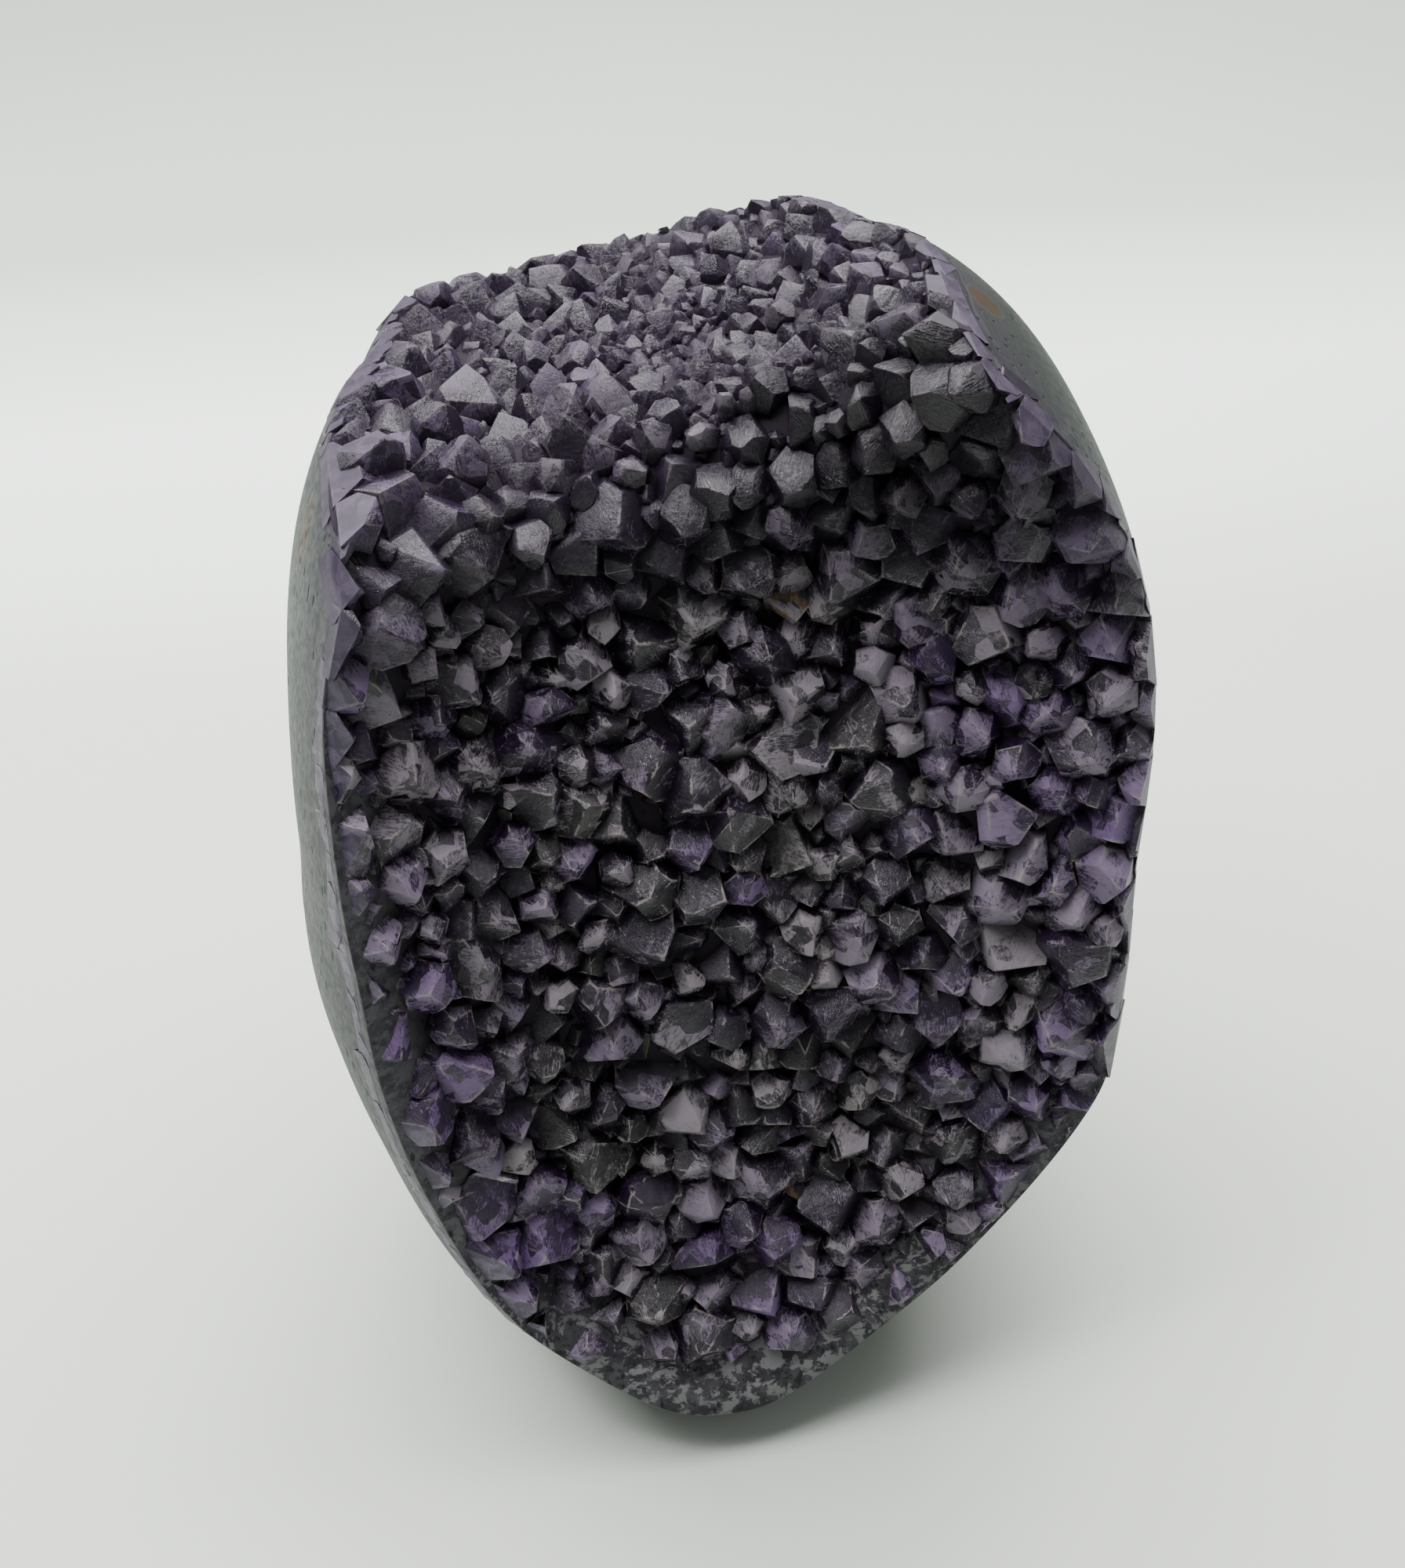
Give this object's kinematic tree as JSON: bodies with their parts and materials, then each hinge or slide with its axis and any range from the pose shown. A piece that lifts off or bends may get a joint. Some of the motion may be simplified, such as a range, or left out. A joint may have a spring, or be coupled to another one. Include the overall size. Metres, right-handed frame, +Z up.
{
  "type": "crystal skull carving",
  "caption": "Life-like human skull carved and polished from a block of amethyst geode wall, its back and top left as a shallow hollow lined with quartz points; stands on a flat sawn foot.",
  "frame": {"origin": "on the surface that the skull stands on, under the middle of its box", "axes": "+Z up, +Y the way the face looks, -Y out of the crystal hollow at the back, +X to the right of a viewer who looks at the crystals"},
  "size_m": [0.1186, 0.1134, 0.1664],
  "materials": {
    "polished_stone": "polished grey-green agate, violet-grey towards the crystals, with small pits and brown patches",
    "amethyst": "dark violet translucent quartz with glassy and frosted flat faces"
  },
  "bodies": {
    "root": {"polished_stone": "polished_stone", "crystal_crust": "amethyst"}
  },
  "joints": []
}
